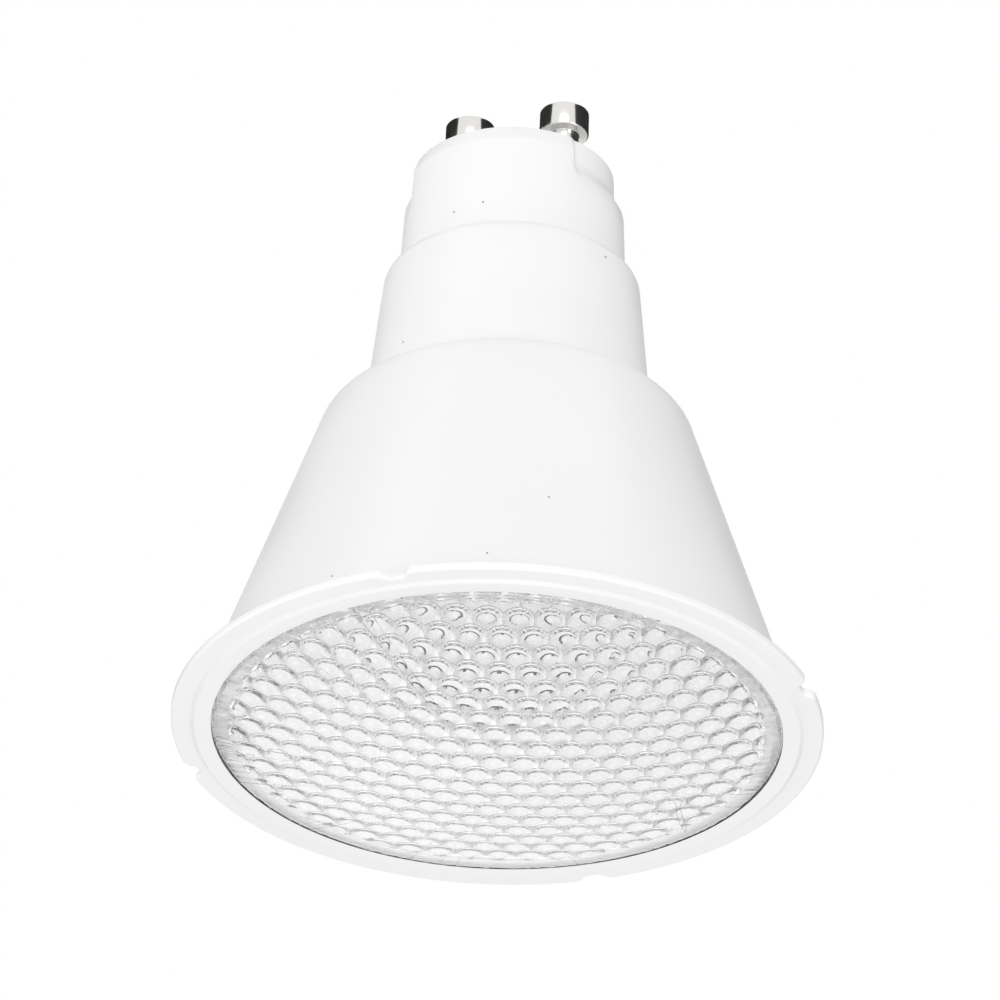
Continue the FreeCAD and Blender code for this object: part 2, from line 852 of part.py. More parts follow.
def make_screws():
    """Two pan-head screws that hold the diode board up against the spreader."""
    members = []
    for number, side in enumerate((1, -1)):
        body = new_body("board_screw_%d" % number)
        head = board_face - named("screw_head_height")
        turn(body, "screw_%d_turned" % number, [
            (0, head),
            (named("screw_head_radius") - named("screw_head_bevel"), head),
            (named("screw_head_radius"), head + named("screw_head_height") / 2),
            (named("screw_head_radius"), board_face),
            (named("screw_radius"), board_face),
            (named("screw_radius"), spreader_back),
            (0, spreader_back),
        ])
        bind(body, "Placement.Base.y", side * screw_circle)
        members.append(body)
    return make_group("board_screws", members)


def make_insulator_plate():
    """The disc that closes the driver case below, with two ribs that hold the driver board."""
    body = new_body("insulator_plate")
    sketch = new_sketch(body, "plate_outline", "XY_Plane", spreader_back)
    draw_circle(sketch, 0, 0, case_bore - named("plate_gap"))
    for hole in wire_holes:
        draw_circle(sketch, *hole)
    pad(body, "plate", sketch, named("plate_thickness"))
    ribs = new_sketch(body, "ribs_outline", "XY_Plane", plate_top)
    half = transformer_half
    near = driver_board_front - named("rib_gap")
    far = named("driver_board_back") + named("rib_gap")
    for low, high in ((near - named("rib_width"), near), (far, far + named("rib_width"))):
        draw_outline(ribs, [(-half, low), (half, low), (half, high), (-half, high)])
    pad(body, "ribs", ribs, named("rib_height"))
    return body


def make_driver_board():
    """The upright circuit board of the supply."""
    width = driver_board_half * 2
    height = cap_spigot_end - plate_top - named("driver_board_top_gap")
    board = box("driver_board", (-driver_board_half, driver_board_front, plate_top),
                (width, named("driver_board_thickness"), height))
    board.Label = "driver_board"
    return board


# Parts on the driver board. The front is towards -Y, where the case has more room.
front_face = driver_board_front - named("part_gap")
back_face = named("driver_board_back") + named("part_gap")
rib_top = plate_top + named("rib_height")
transformer_low = rib_top + named("part_gap")
transformer_high = transformer_low + named("transformer_height")
can_low = transformer_high + named("part_gap")


def make_transformer():
    """The ferrite frame and the winding on its middle leg."""
    width, depth = transformer_half * 2, named("transformer_depth")
    height, leg = named("transformer_height"), named("transformer_leg")
    back = front_face
    core = new_body("transformer_core")
    sketch = new_sketch(core, "core_outline", "XZ_Plane", -back + depth / 4)
    low, high = transformer_low, transformer_high
    draw_outline(sketch, [(-width / 2, low), (width / 2, low), (width / 2, high), (-width / 2, high)])
    for near, far in ((-width / 2 + leg / 2, -leg / 2), (leg / 2, width / 2 - leg / 2)):
        draw_outline(sketch, [(near, low + leg / 2), (far, low + leg / 2),
                              (far, high - leg / 2), (near, high - leg / 2)])
    pad(core, "core_frame", sketch, depth / 2)
    winding = new_body("transformer_winding")
    gap = named("winding_gap")
    coil = new_sketch(winding, "winding_outline", "XY_Plane", low + leg / 2 + gap)
    half = width / 2 - leg / 2 - gap
    middle = back - depth / 2
    draw_outline(coil, [(-half, back - depth), (half, back - depth), (half, back), (-half, back)])
    hole = leg / 2 + gap
    hole_half = depth / 4 + gap
    draw_outline(coil, [(-hole, middle - hole_half), (hole, middle - hole_half),
                        (hole, middle + hole_half), (-hole, middle + hole_half)])
    pad(winding, "winding_coil", coil, height - leg - gap * 2)
    return core, winding


def make_can(name, radius, across):
    """An electrolytic capacitor: an upright can with a groove pressed in near its foot."""
    body = new_body(name)
    low, high = can_low, can_low + named("can_height")
    groove = named("can_groove")
    turn(body, name + "_turned", [
        (0, low),
        (radius, low),
        (radius, low + groove * 4),
        (radius - groove, low + groove * 5),
        (radius, low + groove * 6),
        (radius, high),
        (0, high),
    ])
    bind(body, "Placement.Base.x", across)
    bind(body, "Placement.Base.y", front_face - radius)
    return body


def make_board_blocks():
    """The square-bodied parts on the back of the driver board."""
    film_low = rib_top + named("part_gap")
    film = box("film_capacitor", (-named("film_width") / 2, back_face, film_low),
               (named("film_width"), named("film_depth"), named("film_height")))
    bridge_low = film_low + named("film_height") + named("part_spacing")
    bridge = box("bridge_rectifier", (-named("bridge_width") / 2, back_face, bridge_low),
                 (named("bridge_width"), named("bridge_depth"), named("bridge_height")))
    side_low = bridge_low + named("bridge_height")
    side_edge = driver_board_half - named("chip_inset")
    chip = box("driver_chip", (-side_edge, back_face, side_low),
               (named("chip_width"), named("chip_depth"), named("chip_height")))
    diode = box("output_diode", (side_edge - named("diode_body_width"), back_face, side_low),
                (named("diode_body_width"), named("diode_body_depth"), named("diode_body_height")))
    for block in (film, bridge, chip, diode):
        block.Label = block.Name
    drum_low = side_low + named("drum_radius") + named("part_spacing")
    return film, bridge, chip, diode, drum_low


def make_drum(height):
    """The drum-core inductor, lying with its end on the driver board."""
    body = new_body("drum_inductor")
    flange, end = named("drum_flange"), named("drum_height")
    turn(body, "drum_turned", [
        (0, 0),
        (named("drum_radius"), 0),
        (named("drum_radius"), flange),
        (named("drum_waist_radius"), flange),
        (named("drum_waist_radius"), end - flange),
        (named("drum_radius"), end - flange),
        (named("drum_radius"), end),
        (0, end),
    ])
    body.Placement = Placement(Vector(0, back_face.value, height.value), Rotation(Vector(1, 0, 0), -90))
    bind(body, "Placement.Base.y", back_face)
    bind(body, "Placement.Base.z", height)
    return body


can_top = can_low + named("can_height")
wire_end = can_top + named("resistor_radius") + named("resistor_gap")


def make_resistor():
    """The fusible resistor that lies across the front of the board, between the two input wires."""
    body = new_body("fusible_resistor")
    radius, length = named("resistor_radius"), named("resistor_length")
    turn(body, "resistor_turned", [
        (0, -length / 2),
        (radius - named("resistor_end_step"), -length / 2),
        (radius, -length / 2 + radius / 2),
        (radius, length / 2 - radius / 2),
        (radius - named("resistor_end_step"), length / 2),
        (0, length / 2),
    ])
    body.Placement = Placement(Vector(0, 0, 0), Rotation(Vector(0, 1, 0), 90))
    bind(body, "Placement.Base.y", front_face - radius)
    bind(body, "Placement.Base.z", wire_end)
    return body


def make_wire(name, route, bends):
    """A round wire along straight runs joined by arcs, swept from its first point to its last."""
    points = [Vector(*(as_size(item).value for item in point)) for point in route]
    edges = []
    start = points[0]
    for corner, following, bend in zip(points[1:-1], points[2:], bends):
        incoming = (corner - start).normalize()
        outgoing = (following - corner).normalize()
        half_turn = incoming.getAngle(outgoing) / 2
        reach = bend * math.tan(half_turn)
        arc_start = corner - incoming * reach
        arc_end = corner + outgoing * reach
        inward = (outgoing - incoming).normalize()
        middle = corner + inward * (bend / math.cos(half_turn) - bend)
        edges.append(Part.LineSegment(start, arc_start).toShape())
        edges.append(Part.Arc(arc_start, middle, arc_end).toShape())
        start = arc_end
    edges.append(Part.LineSegment(start, points[-1]).toShape())
    path = Part.Wire(edges)
    radius = named("wire_radius").value
    section = Part.Wire(Part.makeCircle(radius, points[0], points[1] - points[0]))
    wire = document.addObject("Part::Feature", name)
    wire.Label = name
    wire.Shape = path.makePipeShell([section], True, False)
    return wire


def make_wires():
    """Two wires from the pins to the driver board, and two from it to the diode board."""
    wires = []
    tail_end = cap_under - named("pin_collar_height") - named("pin_tail_length")
    bend = named("wire_bend").value
    for word, side in (("left", -1), ("right", 1)):
        across = side * named("pin_spacing") / 2
        wires.append(make_wire("input_wire_" + word, [
            (across, 0, tail_end),
            (across, 0, wire_end),
            (across, driver_board_front, wire_end),
        ], [bend]))
        across = side * output_wire_x
        lift = rib_top + named("wire_bend") * 2
        wires.append(make_wire("output_wire_" + word, [
            (across, 0, board_face),
            (across, 0, lift),
            (across, driver_board_front, lift),
        ], [bend]))
    return wires


def failed_objects():
    """Names of the objects that did not compute."""
    return [item.Name for item in document.Objects if set(item.State) & {"Invalid", "Error"}]


def main():
    """Build every sub-part, check it and write its file."""
    pieces = [make_housing(), make_driver_case(), make_cap()]
    pieces += [make_pin("contact_pin_left", -1), make_pin("contact_pin_right", 1)]
    pieces += [make_lens(), make_gasket(), make_reflector(), make_diffuser()]
    board_holes = wire_holes + screw_holes
    pieces.append(make_round_plate("led_board", board_radius, board_face,
                                   named("board_thickness"), board_holes))
    pieces.append(make_round_plate("thermal_pad", board_radius, board_back,
                                   named("pad_thickness"), board_holes))
    pieces += [make_spreader(), make_diodes(), make_screws()]
    pieces += [make_insulator_plate(), make_driver_board(), *make_transformer()]
    can_spacing = named("output_can_radius") + named("part_gap") / 2
    pieces.append(make_can("input_capacitor", named("input_can_radius"), -can_spacing))
    input_reach = named("input_can_radius") + named("part_gap") / 2
    pieces.append(make_can("output_capacitor", named("output_can_radius"), input_reach))
    *blocks, drum_height = make_board_blocks()
    pieces += blocks
    pieces += [make_drum(drum_height), make_resistor(), *make_wires()]
    document.recompute()

    failed = failed_objects()
    if failed:
        raise ValueError("not computed: %s" % ", ".join(failed))
    os.makedirs("parts", exist_ok=True)
    for piece in pieces:
        if piece.Shape.isNull() or not piece.Shape.isValid():
            raise ValueError("%s has no valid shape" % piece.Label)
    for piece in pieces:
        piece.Shape.exportStep("parts/%s.step" % piece.Label)
        print("%-22s %9.1f mm3  %d solids" % (piece.Label, piece.Shape.Volume, len(piece.Shape.Solids)))


main()
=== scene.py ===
import math
import bpy
from mathutils import Matrix, Vector


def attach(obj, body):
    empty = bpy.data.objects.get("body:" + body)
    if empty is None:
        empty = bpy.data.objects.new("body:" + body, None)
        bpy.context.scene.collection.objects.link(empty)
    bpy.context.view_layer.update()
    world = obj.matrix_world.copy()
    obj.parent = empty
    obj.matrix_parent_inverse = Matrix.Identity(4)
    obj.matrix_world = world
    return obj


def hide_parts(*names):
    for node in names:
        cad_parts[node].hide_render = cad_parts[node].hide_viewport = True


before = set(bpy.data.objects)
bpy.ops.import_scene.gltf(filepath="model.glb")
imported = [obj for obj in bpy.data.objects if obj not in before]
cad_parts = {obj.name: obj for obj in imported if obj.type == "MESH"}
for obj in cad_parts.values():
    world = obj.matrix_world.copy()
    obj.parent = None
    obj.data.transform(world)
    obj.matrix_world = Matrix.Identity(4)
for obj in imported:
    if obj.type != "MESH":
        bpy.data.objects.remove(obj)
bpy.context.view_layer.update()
bpy.ops.object.select_all(action="DESELECT")

# GU10 spotlight bulb. +Z runs up the bulb from its lens to its pins, which stand on the X axis.
# Sizes are in millimetres, and the pieces are built in metres.
MM = 0.001
SHARP_ANGLE = math.radians(35)

# Housing
POCKET = 27.8
LEDGE = 7.1
FRONT_RING = 3.9
RING_EDGE, RING_STEP = 29.45, 29.85
# Painted shade: a dark band on the pocket wall, in the gap between the lens and the housing.
GAP_SHADE_RADII, GAP_SHADE_HEIGHTS = (27.0, 27.83), (3.95, 4.4)
FLANGE_FRONT, FLANGE_BACK = 4.2, 5.1
FLANGE_EDGE = 31.75
CONE_ROOT, CONE_TOP = 29.4, 17.96
CONE_WALL = 2.1
CONE_HEIGHTS = (6.5, 12.0, 18.0, 24.0, 30.0, 34.0)
SHOULDER, SHOULDER_UNDER = 38.9, 36.9
NECK_HOLE = 14.45
NOTCH_FLOOR = (30.8, 0.8, 0.5)
NOTCH_MOUTH = (31.71, 1.56, 0.9)
NOTCH_WINDOW = math.radians(4.0)
NOTCH_REACH = 31.2
PLAIN_STEPS = 48

# Driver case and cap
CASE_ROOT, CASE_TOP = 14.35, 12.72
CASE_END = 55.5
CASE_LIP = 10.25
CAP_ROOT, CAP_TOP = 11.35, 10.8
CAP_END = 67.5
CAP_BORE, CAP_SPIGOT = 8.7, 10.2
CAP_ROUNDING = 65.9
RECESS_RADIUS = 10.05
RECESS_DRAFT = 0.15
RECESS_LOW, RECESS_FLOOR = 62.7, 64.5
RECESS_HALF = math.radians(35.2)
RECESS_SLANT = RECESS_HALF + math.radians(4.3)
CAP_TOP_EDGE = 9.8

# Pins
PIN_SPACING = 10.0
PIN_NECK, PIN_HEAD = 1.5, 2.5
PIN_HEAD_LOW = 72.1
PIN_END = 74.8

# Lens
LENS_EDGE = 27.65
LENS_CLEAR = 26.0
LENS_EDGE_HEIGHT = 3.9
LENS_TOP = 5.9
LENS_WALL = 1.6
LENS_CURVE = (LENS_EDGE ** 2 + LENS_EDGE_HEIGHT ** 2) / (2 * LENS_EDGE_HEIGHT)
LENS_SOFT_EDGE = 0.5
LENS_SIDES = 120
LENS_RINGS = 20
RIM_START = 27.25
RIM_FINISH_START = LENS_CLEAR - 0.2
CELL_PITCH = 2.924
CELL_CORNER = CELL_PITCH / math.sqrt(3)
CELL_TURN = math.radians(20.2)
CELL_MIDDLE = (-0.13, -0.48)
CELL_CUTS = 4
CELLS_ALONG = 23
CELLS_FADE = 25.1
BUMP_CURVE = 2.1
FLANK_START = 1.05

# Diffuser and the end of the bowl
COVER_FACE, COVER_BACK = 21.4, 22.6
COVER_EDGE, COVER_INSIDE = 7.4, 6.6
# Painted shade: dark spots on the diffuser that stand for the dark inside of a small hole.
COVER_SHADE_SPOTS = ((-1.504, 4.4415, 21.5), (-1.952, 5.7645, 21.5))
COVER_SHADE_RADIUS = 1.35
# Painted shade: a black band on the inside of the bowl's end, where the seam to the diffuser lies in shade.
SEAM_SHADE_LOW = 20.95
SEAM_SHADE_RADII = (7.0, 8.9)

# Dirt
FIBRE = ((11.11, 15.28), (11.76, 14.49), (11.86, 15.48), (11.3, 16.31), (11.36, 15.11), (12.32, 14.0),
         (13.03, 13.38), (13.6, 13.19), (13.79, 14.22), (13.51, 15.77), (13.04, 16.97), (12.72, 18.67),
         (12.25, 21.51), (12.14, 22.87), (12.85, 20.91), (13.38, 17.86), (13.84, 15.7), (14.6, 14.22),
         (15.01, 14.22), (14.79, 15.28), (14.9, 16.24), (15.4, 17.27), (16.67, 17.48))
FIBRE_RADIUS = 0.045
SPECKS = ((-6.97, -12.13, 42.58), (0.53, -11.21, 58.18), (-2.57, -10.95, 57.68), (12.23, -22.63, 15.96),
          (-7.66, -27.54, 7.5), (7.82, -27.4, 7.77))
SPECK_RADIUS = 0.13

# Camera and stage
CAMERA_PLACE = (255.92, -744.76, -431.57)
CAMERA_TURN, CAMERA_TILT, CAMERA_ROLL = (math.radians(angle) for angle in (18.998, 120.393, 1.946))
CAMERA_AZIMUTH = math.atan2(CAMERA_PLACE[1], CAMERA_PLACE[0])
LAMP_SIZE = 600
LAMP_TARGET = (0, 0, 35)
CARD_DISTANCE, CARD_HEIGHT, CARD_RISE = 500, 1300, 300


def aim_camera():
    """A long lens that looks up at the bulb from below and in front."""
    data = bpy.data.cameras.new("camera")
    data.sensor_width = 36
    data.lens = 333.2
    data.clip_start = 0.05
    data.clip_end = 20
    camera = bpy.data.objects.new("camera", data)
    bpy.context.scene.collection.objects.link(camera)
    turn = Matrix.Rotation(CAMERA_TURN, 4, "Z")
    tilt = Matrix.Rotation(CAMERA_TILT, 4, "X")
    roll = Matrix.Rotation(CAMERA_ROLL, 4, "Z")
    place = Matrix.Translation(Vector(CAMERA_PLACE) * MM)
    camera.matrix_world = place @ turn @ tilt @ roll
    bpy.context.scene.camera = camera


# Modelling helpers

def edit(piece):
    """Go into edit mode on one piece, with all of it selected."""
    bpy.ops.object.select_all(action="DESELECT")
    piece.select_set(True)
    bpy.context.view_layer.objects.active = piece
    bpy.ops.object.mode_set(mode="EDIT")
    bpy.ops.mesh.select_all(action="SELECT")


def leave_edit():
    """Back to object mode."""
    bpy.ops.object.mode_set(mode="OBJECT")


def apply_modifier(piece, kind, **settings):
    """Add one modifier to a piece and apply it."""
    bpy.context.view_layer.objects.active = piece
    modifier = piece.modifiers.new(kind.lower(), kind)
    for word, value in settings.items():
        setattr(modifier, word, value)
    bpy.ops.object.modifier_apply(modifier=modifier.name)


def select_border():
    """Select the open edges of the piece in edit mode."""
    bpy.ops.mesh.select_all(action="DESELECT")
    bpy.ops.mesh.select_mode(type="EDGE")
    bpy.ops.mesh.select_non_manifold(
        extend=False, use_wire=False, use_boundary=True, use_multi_face=False,
        use_non_contiguous=False, use_verts=False)


def carry_ring(old_radius, radius, height):
    """Extrude the selected ring to another radius and one height, both in millimetres."""
    size = radius / old_radius
    bpy.ops.mesh.extrude_region()
    bpy.ops.transform.resize(value=(size, size, 0), center_override=(0, 0, height * MM))
    return radius


def rounded(corners, steps=5):
    """Points along straight runs whose corners (across, up, radius) are rounded off."""
    path = []
    count = len(corners)
    for number, (x, y, radius) in enumerate(corners):
        here = Vector((x, y))
        before = Vector(corners[number - 1][:2]) - here
        after = Vector(corners[(number + 1) % count][:2]) - here
        bend = before.angle(after)
        if radius == 0:
            path.append((x, y))
            continue
        reach = radius / math.tan(bend / 2)
        halfway = (before.normalized() + after.normalized()).normalized()
        middle = here + halfway * (radius / math.sin(bend / 2))
        start = here + before.normalized() * reach - middle
        end = here + after.normalized() * reach - middle
        swing = start.angle_signed(end)
        for step in range(steps + 1):
            share = -swing * step / steps
            turned = Vector((start.x * math.cos(share) - start.y * math.sin(share),
                             start.x * math.sin(share) + start.y * math.cos(share)))
            path.append(tuple(middle + turned))
    return path


def turned_piece(name, profile, angles, closed=True):
    """A piece of rings about the Z axis. An open profile runs from pole to pole, poles left out."""
    sides = len(angles)
    first_radius, first_height = profile[0]
    bpy.ops.mesh.primitive_circle_add(vertices=sides, radius=first_radius * MM, fill_type="NOTHING",
                                      location=(0, 0, first_height * MM))
    piece = bpy.context.object
    piece.name = name
    bpy.ops.object.transform_apply(location=True, rotation=False, scale=False)
    for vertex, angle in zip(piece.data.vertices, angles):
        vertex.co.x = math.cos(angle) * first_radius * MM
        vertex.co.y = math.sin(angle) * first_radius * MM
    edit(piece)
    if not closed:
        bpy.ops.mesh.extrude_region()
        bpy.ops.mesh.merge(type="CENTER")
        select_border()
    radius = first_radius
    for following, height in profile[1:]:
        radius = carry_ring(radius, following, height)
    if closed:
        carry_ring(radius, first_radius, first_height)
    else:
        bpy.ops.mesh.extrude_region()
        bpy.ops.mesh.merge(type="CENTER")
    bpy.ops.mesh.select_all(action="SELECT")
    bpy.ops.mesh.remove_doubles(threshold=0.004 * MM)
    bpy.ops.mesh.normals_make_consistent(inside=False)
    leave_edit()
    return piece


def finish_shading(piece):
    """Smooth shading up to the piece's sharp edges."""
    bpy.ops.object.select_all(action="DESELECT")
    piece.select_set(True)
    bpy.context.view_layer.objects.active = piece
    bpy.ops.object.shade_smooth_by_angle(angle=SHARP_ANGLE)


def even_angles(sides):
    """Angles that divide a turn evenly."""
    return [2 * math.pi * number / sides for number in range(sides)]


def cone_outside(height):
    """Radius of the cone's outside at a height."""
    share = (height - FLANGE_BACK) / (SHOULDER - FLANGE_BACK)
    return CONE_ROOT + (CONE_TOP - CONE_ROOT) * share


def notch_outline():
    """One notch of the flange edge, as (angle, radius) from its middle outwards."""
    edge = (FLANGE_EDGE * math.cos(NOTCH_WINDOW), FLANGE_EDGE * math.sin(NOTCH_WINDOW), 0)
    path = rounded([(NOTCH_FLOOR[0], 0, 0), NOTCH_FLOOR, NOTCH_MOUTH, edge], 6)
    return [(math.atan2(y, x), math.hypot(x, y)) for x, y in path]


def make_housing():
    """The white cone with its front ring and its flange with four notches."""
    half = notch_outline()
    plain = math.pi / 2 - 2 * NOTCH_WINDOW
    angles = []
    for quarter in range(4):
        middle = quarter * math.pi / 2
        angles += [middle - angle for angle, radius in reversed(half[1:])]
        angles += [middle + angle for angle, radius in half]
        angles += [middle + NOTCH_WINDOW + plain * step / PLAIN_STEPS for step in range(1, PLAIN_STEPS)]
    profile = rounded([
        (POCKET, FRONT_RING, 0.1), (RING_EDGE, FRONT_RING, 0.15), (RING_STEP, FLANGE_FRONT, 0.15),
        (FLANGE_EDGE, FLANGE_FRONT, 0.25), (FLANGE_EDGE, FLANGE_BACK, 0.25), (CONE_ROOT, FLANGE_BACK, 0.3),
        *[(cone_outside(height), height, 0) for height in CONE_HEIGHTS],
        (CONE_TOP, SHOULDER, 3.0), (NECK_HOLE, SHOULDER, 0.15), (NECK_HOLE, SHOULDER_UNDER, 0),
        *[(cone_outside(height) - CONE_WALL, height, 0) for height in (SHOULDER_UNDER, LEDGE)],
        (POCKET, LEDGE, 0)], 6)
    housing = turned_piece("white_housing", profile, angles)
    for vertex in housing.data.vertices:
        x, y, z = vertex.co / MM
        reach = math.hypot(x, y)
        if reach < NOTCH_REACH or z > FLANGE_BACK + 0.01:
            continue
        off = abs((math.atan2(y, x) + math.pi / 4) % (math.pi / 2) - math.pi / 4)
        for (low, near), (high, far) in zip(half, half[1:]):
            if low - 1e-6 <= off < high:
                edge = near + (far - near) * (off - low) / (high - low)
                share = (reach - (FLANGE_EDGE - edge)) / reach
                vertex.co.x *= share
                vertex.co.y *= share
                break
    finish_shading(housing)
    return housing


def make_driver_case():
    """The neck: a tube that comes out of the cone and holds the cap."""
    profile = rounded([
        (12.85, 25.9, 0), (14.25, 25.9, 0), (14.25, 35.7, 0), (15.5, 35.7, 0), (15.5, 36.9, 0),
        (CASE_ROOT, 36.9, 0), (CASE_ROOT, SHOULDER, 0), (13.8, 44.5, 0), (13.2, 50.6, 0),
        (CASE_TOP, CASE_END, 1.6), (CASE_LIP, CASE_END, 0.15), (CASE_LIP, 53.5, 0), (11.416, 53.5, 0),
        (12.85, SHOULDER, 0)], 8)
    case = turned_piece("white_driver_case", profile, even_angles(180))
    finish_shading(case)
    return case


def cap_outside(height):
    """Radius of the cap's outside at a height."""
    return CAP_ROOT + (CAP_TOP - CAP_ROOT) * (height - CASE_END) / (CAP_END - CASE_END)


def recess_reach(height):
    """Radius of the recess wall at a height."""
    if height < RECESS_FLOOR:
        share = (height - RECESS_LOW) / (RECESS_FLOOR - RECESS_LOW)
        return cap_outside(RECESS_LOW) + (RECESS_RADIUS - cap_outside(RECESS_LOW)) * share
    return RECESS_RADIUS - RECESS_DRAFT * (height - RECESS_FLOOR) / (CAP_END - RECESS_FLOOR)


def cap_angles():
    """Angles round the cap, closer together where a recess ends."""
    quarter = [RECESS_HALF * step / 18 for step in range(19)]
    quarter += [(RECESS_HALF + RECESS_SLANT) / 2, RECESS_SLANT]
    quarter += [RECESS_SLANT + (math.pi / 2 - RECESS_SLANT) * step / 24 for step in range(1, 25)]
    half = quarter + [math.pi - angle for angle in reversed(quarter[1:-1])]
    return half + [math.pi + angle for angle in half]


def make_cap():
    """The cap, with a shallow slanted recess below each pin."""
    heights = (57.0, 59.0, 61.0, RECESS_LOW, 63.3, 63.9, RECESS_FLOOR, 65.2)
    shoulder = cap_outside(CAP_ROUNDING)
    profile = rounded([
        (3.0, 65.5, 0), (CAP_BORE, 65.5, 0), (CAP_BORE, 52.1, 0), (CAP_SPIGOT, 52.1, 0),
        (CAP_SPIGOT, CASE_END, 0), (CAP_ROOT, CASE_END, 0.12),
        *[(cap_outside(height), height, 0) for height in heights],
        (shoulder, CAP_ROUNDING, 1.2), (shoulder - 0.5, CAP_END, 0.3), (9.6, CAP_END, 0), (4.0, CAP_END, 0)], 4)
    cap = turned_piece("white_cap", profile, cap_angles(), closed=False)
    for vertex in cap.data.vertices:
        x, y, z = vertex.co / MM
        reach = math.hypot(x, y)
        off = abs((math.atan2(y, x) + math.pi / 2) % math.pi - math.pi / 2)
        if z < RECESS_LOW or off > RECESS_SLANT - 1e-4 or reach < CAP_TOP_EDGE:
            continue
        wall = recess_reach(z)
        if off > RECESS_HALF + 1e-4:
            wall += (reach - wall) * (off - RECESS_HALF) / (RECESS_SLANT - RECESS_HALF)
        if reach > wall:
            vertex.co.x *= wall / reach
            vertex.co.y *= wall / reach
    finish_shading(cap)
    return cap


def make_pin(side):
    """A turned contact pin with a thick head."""
    profile = rounded([
        (0.5, 62.3, 0), (1.0, 62.3, 0.1), (1.0, 64.7, 0), (2.3, 64.7, 0.1), (2.3, 65.5, 0),
        (PIN_NECK, 65.5, 0), (PIN_NECK, PIN_HEAD_LOW, 0.1), (PIN_HEAD, PIN_HEAD_LOW, 0.22),
        (PIN_HEAD, PIN_END, 0.3), (1.2, PIN_END, 0)], 5)
    pin = turned_piece("nickel_pin", profile, even_angles(96), closed=False)
    edit(pin)
    bpy.ops.transform.translate(value=(side * PIN_SPACING / 2 * MM, 0, 0))
    leave_edit()
    finish_shading(pin)
    return pin


def sphere_height(curve, radius):
    """Height of a sphere about the lens's centre of curvature, at a radius from the axis."""
    return LENS_CURVE - math.sqrt(curve ** 2 - radius ** 2)


def cell_steps():
    """The two steps from one cell of the honeycomb to its neighbours."""
    return [Vector((math.cos(turn), math.sin(turn), 0)) * CELL_PITCH
            for turn in (CELL_TURN, CELL_TURN + math.radians(60))]


def nearest_cell(across, along):
    """Distance from a point of the lens to the middle of its nearest cell."""
    (ax, ay, _), (bx, by, _) = CELL_STEPS
    x, y = across - CELL_MIDDLE[0], along - CELL_MIDDLE[1]
    area = ax * by - ay * bx
    first, second = (x * by - y * bx) / area, (ax * y - ay * x) / area
    best = CELL_PITCH
    for i in (math.floor(first), math.floor(first) + 1):
        for j in (math.floor(second), math.floor(second) + 1):
            best = min(best, math.hypot(x - i * ax - j * bx, y - i * ay - j * by))
    return best


CELL_STEPS = cell_steps()


def make_cell_sheet():
    """A flat round sheet of hexagons: one cell, repeated along two steps and cut round."""
    start = Vector((*CELL_MIDDLE, 0)) - (CELL_STEPS[0] + CELL_STEPS[1]) * (CELLS_ALONG - 1) / 2
    bpy.ops.mesh.primitive_circle_add(
        vertices=6, radius=CELL_CORNER * MM, fill_type="TRIFAN", location=start * MM,
        rotation=(0, 0, CELL_TURN))
    sheet = bpy.context.object
    bpy.ops.object.transform_apply(location=True, rotation=True, scale=True)
    edit(sheet)
    bpy.ops.mesh.subdivide(number_cuts=CELL_CUTS)
    leave_edit()
    for step in CELL_STEPS:
        apply_modifier(sheet, "ARRAY", count=CELLS_ALONG, use_relative_offset=False,
                       use_constant_offset=True, constant_offset_displace=step * MM,
                       use_merge_vertices=True, merge_threshold=0.02 * MM)
    edit(sheet)
    bpy.ops.mesh.remove_doubles(threshold=0.02 * MM)
    bpy.ops.mesh.select_all(action="DESELECT")
    leave_edit()
    for face in sheet.data.polygons:
        face.select = face.center.length > (LENS_CLEAR + 1.0) * MM
    bpy.ops.object.mode_set(mode="EDIT")
    bpy.ops.mesh.select_mode(type="FACE")
    bpy.ops.mesh.delete(type="FACE")
    for number in range(LENS_SIDES):
        angle = 2 * math.pi * (number + 0.5) / LENS_SIDES
        outward = Vector((math.cos(angle), math.sin(angle), 0))
        bpy.ops.mesh.select_all(action="SELECT")
        bpy.ops.mesh.bisect(plane_co=outward * LENS_CLEAR * MM, plane_no=outward, clear_outer=True)
    bpy.ops.mesh.select_all(action="SELECT")
    bpy.ops.mesh.remove_doubles(threshold=0.03 * MM)
    bpy.ops.mesh.delete_loose(use_verts=True, use_edges=True, use_faces=False)
    leave_edit()
    return sheet


def make_lens():
    """The clear front: domed cells inside, a rim, and a smooth domed outer face."""
    lens = make_cell_sheet()
    lens.name = "clear_lens"
    foot = math.sqrt(BUMP_CURVE ** 2 - CELL_CORNER ** 2)
    for vertex in lens.data.vertices:
        x, y = vertex.co.x / MM, vertex.co.y / MM
        reach = math.hypot(x, y)
        fade = min(max((LENS_CLEAR - reach) / (LENS_CLEAR - CELLS_FADE), 0), 1)
        bump = (math.sqrt(BUMP_CURVE ** 2 - nearest_cell(x, y) ** 2) - foot) * fade * fade * (3 - 2 * fade)
        base = sphere_height(LENS_CURVE - LENS_WALL, reach)
        vertex.co.z = (base + bump) * MM
    edit(lens)
    select_border()
    inner = LENS_EDGE - 2 * LENS_SOFT_EDGE
    land = sphere_height(LENS_CURVE - LENS_WALL, LENS_CLEAR)
    edge = rounded([
        (LENS_CLEAR, land, 0), (RIM_START, land, 0), (RIM_START, LENS_TOP, 0), (LENS_EDGE, LENS_TOP, 0.12),
        (LENS_EDGE, LENS_EDGE_HEIGHT, LENS_SOFT_EDGE), (inner, sphere_height(LENS_CURVE, inner), 0)], 6)
    radius = LENS_CLEAR
    for following, height in edge[1:]:
        radius = carry_ring(radius, following, height)
    for number in range(1, LENS_RINGS):
        following = inner * (1 - number / LENS_RINGS)
        radius = carry_ring(radius, following, sphere_height(LENS_CURVE, following))
    bpy.ops.mesh.merge(type="CENTER")
    bpy.ops.mesh.select_all(action="SELECT")
    bpy.ops.mesh.normals_make_consistent(inside=False)
    leave_edit()
    finish_shading(lens)
    return lens


